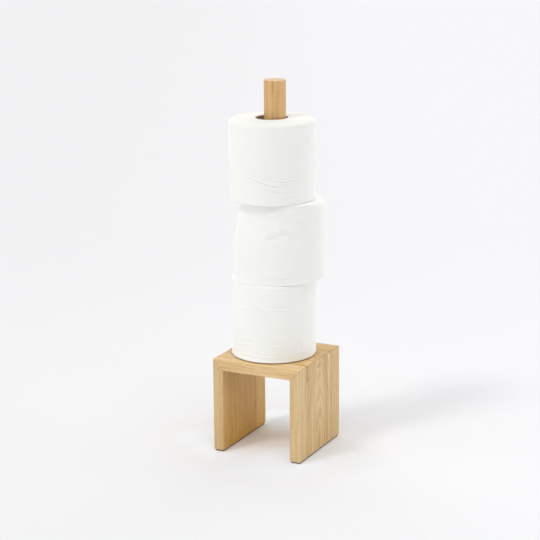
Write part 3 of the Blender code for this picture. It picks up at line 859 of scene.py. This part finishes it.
def sided(facing, setting):
    """A column that goes from its first value in the direction given to its second elsewhere."""
    near, far, degrees, half_width = setting
    return (far + (near - far) * lobe(facing, degrees, half_width))[:, None]


def groove(above, lip_shares):
    """A groove 1 deep where above is 0, in units of its width, with a fuller lip over it."""
    share, place, width = lip_shares
    return share * np.exp(-((above - place) / width) ** 2) - np.exp(-above ** 2)


def crease(facing, rise, depth, width, points):
    """A groove along (degrees, height) points, or a ridge if the depth is below zero."""
    degrees, heights = np.array(points, float).T
    fine = np.linspace(degrees[0], degrees[-1], CREASE_STEPS)
    line = np.pad(np.interp(fine, degrees, heights), CREASE_ROUNDING // 2, mode="edge")
    line = np.convolve(line, np.ones(CREASE_ROUNDING) / CREASE_ROUNDING, mode="valid")
    height = np.interp(facing, fine, line)[:, None]
    starts = smooth((facing - degrees[0]) / CREASE_FADE_DEG)
    ends = smooth((degrees[-1] - facing) / CREASE_FADE_DEG)
    return depth * (starts * ends)[:, None] * groove((rise - height) / width, CREASE_LIP_SHARES)


def dimple(facing, rise, degrees, height, half_width, half_height, depth):
    """A soft dent with a slight swelling over it."""
    along = np.radians(wrapped(facing - degrees)) * PAPER_RADIUS / half_width
    fade = np.exp(-along ** 2)[:, None]
    return depth * fade * groove((rise - height) / half_height, DIMPLE_LIP_SHARES)


def puckers(random, arc_round, rise, high, depth):
    """Short wrinkles, mostly level, scattered over the whole side."""
    total = np.zeros(rise.shape)
    for _ in range(PUCKERS):
        middle = random.uniform(0, PAPER_GIRTH)
        height = random.uniform(*PUCKER_RISE_SHARES) * high
        length = random.uniform(*PUCKER_LENGTH)
        width = random.uniform(*PUCKER_WIDTH)
        tilt = random.normal(0.0, PUCKER_TILT)
        size = depth * random.uniform(*PUCKER_DEPTH_SHARES) * random.choice((-1, 1))
        run = wrapped(arc_round - middle, PAPER_GIRTH)
        above = (rise - height - tilt * run[:, None]) / width
        fade = np.exp(-(run / length) ** 2)[:, None]
        total -= size * fade * groove(above, PUCKER_LIP_SHARES)
    return total


def paper_section(roll, radius, foot, shoulder):
    """Radius and height of every row for each column, from the bore's foot round to its top,
    then for each row how much it follows the side's shape, how much it belongs to an end face,
    and whether that end faces down or up."""
    roll_height, fall = roll.height, roll.fall
    high = roll_height - fall - shoulder
    level = 0.0 * foot

    share = np.arange(BOTTOM_FACE_ROWS) / BOTTOM_FACE_ROWS
    across = PAPER_BORE_RADIUS + (radius - foot - PAPER_BORE_RADIUS) * share
    parts = [(across, level + 0 * share, share, 1, -1)]
    turned = np.arange(FOOT_ROWS) / FOOT_ROWS
    angle = np.pi / 2 * (turned - 1)
    parts.append((radius - foot + foot * np.cos(angle), foot + foot * np.sin(angle), 1, 1 - turned, -1))
    share = (np.arange(SIDE_ROWS) / SIDE_ROWS) ** SIDE_CROWDING
    bulge = roll.crown * np.sin(np.pi * share)
    parts.append((radius + bulge + level, foot + (high - foot) * share, 1, 0, 0))
    turned = np.arange(SHOULDER_ROWS + 1) / SHOULDER_ROWS
    angle = np.pi / 2 * turned
    across = radius - shoulder + shoulder * np.cos(angle)
    parts.append((across, high + shoulder * np.sin(angle), 1, turned, 1))
    share = 1 - np.arange(1, TOP_FACE_ROWS + 1) / TOP_FACE_ROWS
    across = PAPER_BORE_RADIUS + (radius - shoulder - PAPER_BORE_RADIUS) * share
    parts.append((across, roll_height - fall * share ** 2 + level, share, 1, 1))
    share = np.arange(1, CURL_ROWS + 1) / CURL_ROWS
    across = PAPER_BORE_RADIUS - BORE_CURL * np.sin(np.pi * share) ** 0.5
    rise = roll_height - BORE_CURL_HEIGHT * share ** 2
    parts.append((across + level, rise + level, 0, 1 - share, 1 - share))
    share = 1 - np.arange(1, BORE_ROWS + 1) / (BORE_ROWS + 1)
    low = roll_height - BORE_CURL_HEIGHT
    parts.append((PAPER_BORE_RADIUS + 0 * share + level, low * share + level, 0, 0, 0))

    r = np.concatenate([part[0] for part in parts], 1)
    z = np.concatenate([part[1] for part in parts], 1)
    by_row = [np.concatenate([part[i] + np.zeros(part[0].shape[1]) for part in parts]) for i in (2, 3, 4)]
    return r, z, *by_row


def side_swell(roll, random, turn_share, facing, z):
    """How far each point stands out of the plain shape of the winding's side."""
    rise_share = z.mean(axis=0) / roll.height
    crumple = roll.crumple
    heights = (*SWELL_HEIGHTS, crumple, FINE_CRUMPLE_SHARE * crumple)
    swell = sum(
        height * soft_noise(random, turn_share, rise_share, *cells)
        for height, cells in zip(heights, SWELL_CELLS)
    )
    mark_facing, mark_z = facing / roll.mark_share, z - roll.mark_rise
    for setting in roll.creases:
        swell += crease(mark_facing, mark_z, *setting)
    for setting in roll.dimples:
        swell += dimple(mark_facing, mark_z, *setting)
    swell += puckers(random, turn_share * PAPER_GIRTH, z, roll.height, PUCKER_SHARE * crumple)
    reach = TAIL_REACH / PAPER_GIRTH
    lift = smooth((turn_share - 1 + reach) / reach) ** 2
    ruffle = 1 + RUFFLE_SHARE * soft_noise(random, turn_share, rise_share, *RUFFLE_CELLS)
    swell += TAIL_LIFT * lift[:, None] * ruffle
    swell -= PAPER_TAIL_STEP * (1 - turn_share)[:, None]
    swell += sided(facing, roll.spread) * np.clip(1 - z / roll.spread_height, 0, 1) ** 2
    swell += sided(facing, roll.lip) * np.exp(-(z / LIP_WIDTH) ** 2)
    return swell


def wound_faces(closed):
    """The faces between the columns, as numbers of the points in use, and which points those are.

    A row marked as closed has its last point in its first. The others end in a step there.
    """
    index = np.arange((PAPER_COLUMNS + 1) * len(closed)).reshape(PAPER_COLUMNS + 1, -1)
    index[-1, closed] = index[0, closed]
    following = np.roll(index, -1, axis=1)
    quads = np.stack((index[:-1], index[1:], following[1:], following[:-1]), 2).reshape(-1, 4)
    step = np.stack((index[-1], index[0], following[0], following[-1]), 1)
    used = np.unique(index)
    corners = np.searchsorted(used, np.concatenate((quads, step))).tolist()
    faces = [list(dict.fromkeys(face)) for face in corners]
    return [face for face in faces if len(face) > 2], used


def paper_roll(roll, place, material):
    """The winding as one closed mesh, with its axis at the place given."""
    random = np.random.default_rng(roll.seed)
    turn_share = np.linspace(0, 1, PAPER_COLUMNS + 1)
    angle = math.radians(roll.tail_deg) + math.tau * turn_share
    facing = wrapped(np.degrees(angle) - CAMERA_FACING_DEG)
    out, oval_deg = roll.oval
    radius = (PAPER_RADIUS + out * np.cos(2 * (angle - math.radians(oval_deg))))[:, None]
    r, z, follow, end, up = paper_section(
        roll, radius, sided(facing, roll.foot), sided(facing, roll.shoulder),
    )
    swell = side_swell(roll, random, turn_share, facing, z)

    raised = roll.foot_lift * np.clip(1 - z / LIP_HEIGHT, 0, 1) * smooth((follow - 0.5) / 0.5)
    face_wave = 0.5 + 0.5 * soft_noise(random, turn_share, 0 * follow, *FACE_WAVES)
    rings = np.clip((r - PAPER_BORE_RADIUS) * (radius - r) / (radius - PAPER_BORE_RADIUS) ** 2 * 4, 0, 1)
    sunk = FACE_SUNK * np.clip(face_wave, 0, 1) * end * rings
    height = z + raised - sunk * up

    start, full = SQUEEZE_RISE
    turn = math.radians(CAMERA_TURN_DEG)
    across = (1 - np.cos(angle - turn))[:, None]
    slump = roll.squeeze * smooth((z - start) / (full - start)) * follow * across
    radial = r + swell * follow
    x = radial * np.cos(angle)[:, None] + slump * math.cos(turn)
    y = radial * np.sin(angle)[:, None] + slump * math.sin(turn)

    faces, used = wound_faces(follow == 0)
    points = np.stack((x + place[0], y + place[1], height + place[2]), 2).reshape(-1, 3)[used]
    arc = (1 - turn_share)[:, None] * PAPER_GIRTH + 0 * z
    wrap = np.stack((arc, z, r), 2).reshape(-1, 3)[used].astype(np.float32)
    end_face = (end + 0 * z).reshape(-1)[used].astype(np.float32)

    mesh = bpy.data.meshes.new(roll.name + "_winding")
    mesh.from_pydata(points.tolist(), [], faces)
    mesh.attributes.new("wrap", "FLOAT_VECTOR", "POINT").data.foreach_set("vector", wrap.ravel())
    mesh.attributes.new("end_face", "FLOAT", "POINT").data.foreach_set("value", end_face)
    mesh.materials.append(material)
    mesh.shade_smooth()
    mesh.set_sharp_from_angle(angle=math.radians(SHARP_EDGE_DEG))
    return add_object(roll.name + "_winding", mesh)


def add_rolls():
    joints = {joint["name"]: joint for joint in frame["joints"]}
    for roll, slot in zip(ROLLS, ("bottom_paper", "middle_paper", "top_paper")):
        name = roll.name
        place = joints[name + "_turn"]["pos_m"]
        item = paper_roll(roll, place, tissue(name + " tissue"))
        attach(item, name)
        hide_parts(name + "_paper")
        dress(name + "_core", cardboard(name + " card", place))


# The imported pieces' materials

# A pith is its place across the board, and the least and the greatest depth that it lies at.
FOLDED_PITH = (-0.004, 0.024, 0.046)
LEFT_PITH = (0.19, 0.05, 0.052)
POST_PITH = (0.055, 0.016, 0.02)
SPLINE_PITH = (0.2, 0.1, 0.11)
POST_RING_WIDTH = 0.0021


def dress(node, material):
    """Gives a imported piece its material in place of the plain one."""
    for slot in frame["nodes"][node].material_slots:
        slot.material = material


def dress_holder():
    dress("top_board", oak(
        "top board oak", lambda graph: board_place(graph, 0), FOLDED_PITH,
        pale=(0.8, 0.568, 0.29), deep=(0.52, 0.295, 0.095), bands=TOP_BANDS,
        stripes=0.26, rings=0.34, base=0.2, seed=1.3, edge_bands=TOP_EDGE_BANDS, streak=True,
    ))
    dress("left_leg", oak(
        "left leg oak", lambda graph: board_place(graph, -1), LEFT_PITH,
        pale=(0.775, 0.57, 0.31), deep=(0.5, 0.285, 0.09), bands=LEFT_BANDS,
        stripes=0.34, rings=0.24, base=0.22, seed=4.1, edge_bands=LEFT_EDGE_BANDS, foot=0.36,
        heart_tint=(0.995, 0.865, 0.41), front_tint=(0.56, 0.37, 0.185),
    ))
    dress("right_leg", oak(
        "right leg oak", lambda graph: board_place(graph, 1), FOLDED_PITH,
        pale=(0.775, 0.578, 0.315), deep=(0.51, 0.29, 0.085), bands=RIGHT_BANDS,
        stripes=0.26, rings=0.5, base=0.29, seed=1.3, edge_bands=RIGHT_EDGE_BANDS, foot=0.14,
        inner=0.22, front_tint=(0.68, 0.49, 0.26), streak=True,
    ))
    dress("post", oak(
        "post oak", post_place, POST_PITH,
        pale=(0.76, 0.5, 0.225), deep=(0.5, 0.258, 0.077), bands=POST_BANDS,
        stripes=0.36, rings=0.34, base=0.22, seed=9.2, end_tint=(0.74, 0.57, 0.39),
        ring_width=POST_RING_WIDTH,
    ))
    for node in ("left_spline", "right_spline"):
        dress(node, oak(
            node + " beech", spline_place, SPLINE_PITH,
            pale=(0.72, 0.5, 0.32), deep=(0.58, 0.36, 0.2),
            stripes=0.1, rings=0.1, base=0.2, seed=2.2,
        ))
    for node in ("left_foot_pad", "right_foot_pad"):
        dress(node, rubber(node + " rubber"))
    dress("post_insert", turned_metal("insert brass", (0.78, 0.58, 0.27), (0.62, 0.42, 0.16), 0.28))
    dress("post_bolt", turned_metal("bolt zinc", (0.66, 0.66, 0.64), (0.5, 0.5, 0.49), 0.3))


# Stage

def add_floor():
    half = FLOOR_SIZE / 2
    corners = [(-half, -half, 0), (half, -half, 0), (half, half, 0), (-half, half, 0)]
    mesh = bpy.data.meshes.new("floor")
    mesh.from_pydata(corners, [], [(0, 1, 2, 3)])
    floor = add_object("floor", mesh)
    graph = Surface("studio floor")
    x, y = graph.split(object_place(graph))[:2]
    sideways, away = camera_axes(graph, x, y)
    # painted light: the tone goes from left to right and grows a little darker far off
    near = graph.mix(graph.ramp(sideways, -FLOOR_SPREAD, FLOOR_SPREAD), FLOOR_LEFT, FLOOR_RIGHT)
    tone = graph.mix(graph.ramp(away, *FLOOR_FAR), near, graph.times(near, FLOOR_FAR_SHARE))
    # painted light and painted shadow near the base, in faint patches
    for centre, reach, tint in FLOOR_PAINTED_LIGHT_AND_SHADOW:
        off = graph.length(graph.add(x, -centre[0]), graph.add(y, -centre[1]))
        tone = graph.mix(graph.fade(off, *reach), tone, graph.tinted(tone, tint))
    looks = {"Base Color": tone, "Roughness": FLOOR_ROUGHNESS, "Specular IOR Level": 0.0}
    mesh.materials.append(graph.finished(looks))


def add_key():
    lamp = bpy.data.lights.new("key", "SUN")
    lamp.energy = KEY_STRENGTH
    lamp.color = KEY_COLOUR
    lamp.angle = math.radians(KEY_SIZE_DEG)
    flat = Vector((*KEY_BEARING, 0)).normalized()
    elevation = math.radians(KEY_ELEVATION_DEG)
    towards = flat * math.cos(elevation) + Vector((0, 0, math.sin(elevation)))
    add_object("key", lamp).rotation_euler = towards.to_track_quat("Z", "Y").to_euler()


def add_sky():
    """Soft panels round a dim room, with one of them overhead."""
    world = bpy.data.worlds.new("studio")
    world.use_nodes = True
    bpy.context.scene.world = world
    graph = Graph(world.node_tree)
    direction = graph.node("ShaderNodeTexCoord").outputs["Generated"]
    room = 0.0
    for side_deg, elevation_deg, width_deg, strength in PANELS:
        bearing = math.radians(CAMERA_FACING_DEG + side_deg)
        elevation = math.radians(elevation_deg)
        flat = math.cos(elevation)
        towards = (flat * math.cos(bearing), flat * math.sin(bearing), math.sin(elevation))
        facing = graph.node("ShaderNodeVectorMath", {0: direction, 1: towards}, operation="DOT_PRODUCT")
        edge = math.cos(math.radians(width_deg))
        room = graph.add(room, graph.ramp(facing.outputs["Value"], edge, 1.0, 0.0, strength))
    path = graph.node("ShaderNodeLightPath").outputs
    seen = graph.math("MAXIMUM", path["Is Camera Ray"], path["Is Glossy Ray"])
    seen = graph.math("MAXIMUM", seen, path["Is Transmission Ray"])
    colour = graph.mix(seen, graph.vector(room, room, room), BACKGROUND)
    graph.feed(world.node_tree.nodes["Background"].inputs["Color"], colour)


def add_camera():
    turn, tilt = math.radians(CAMERA_TURN_DEG), math.radians(CAMERA_TILT_DEG)
    back = Vector((math.sin(turn) * math.cos(tilt), -math.cos(turn) * math.cos(tilt), math.sin(tilt)))
    right = Vector((math.cos(turn), math.sin(turn), 0))
    axes = Matrix((right, back.cross(right), back)).transposed()
    axes = axes @ Matrix.Rotation(math.radians(CAMERA_ROLL_DEG), 3, "Z")
    lens = bpy.data.cameras.new("camera")
    lens.lens = LENS_MM
    lens.sensor_width = SENSOR_MM
    camera = add_object("camera", lens)
    place = axes @ Vector((CAMERA_RIGHT, CAMERA_UP, CAMERA_BACK))
    camera.matrix_world = Matrix.Translation(place) @ axes.to_4x4()
    bpy.context.scene.camera = camera


dress_holder()
add_rolls()
add_floor()
add_key()
add_sky()
add_camera()
bpy.context.scene.view_settings.view_transform = "Standard"
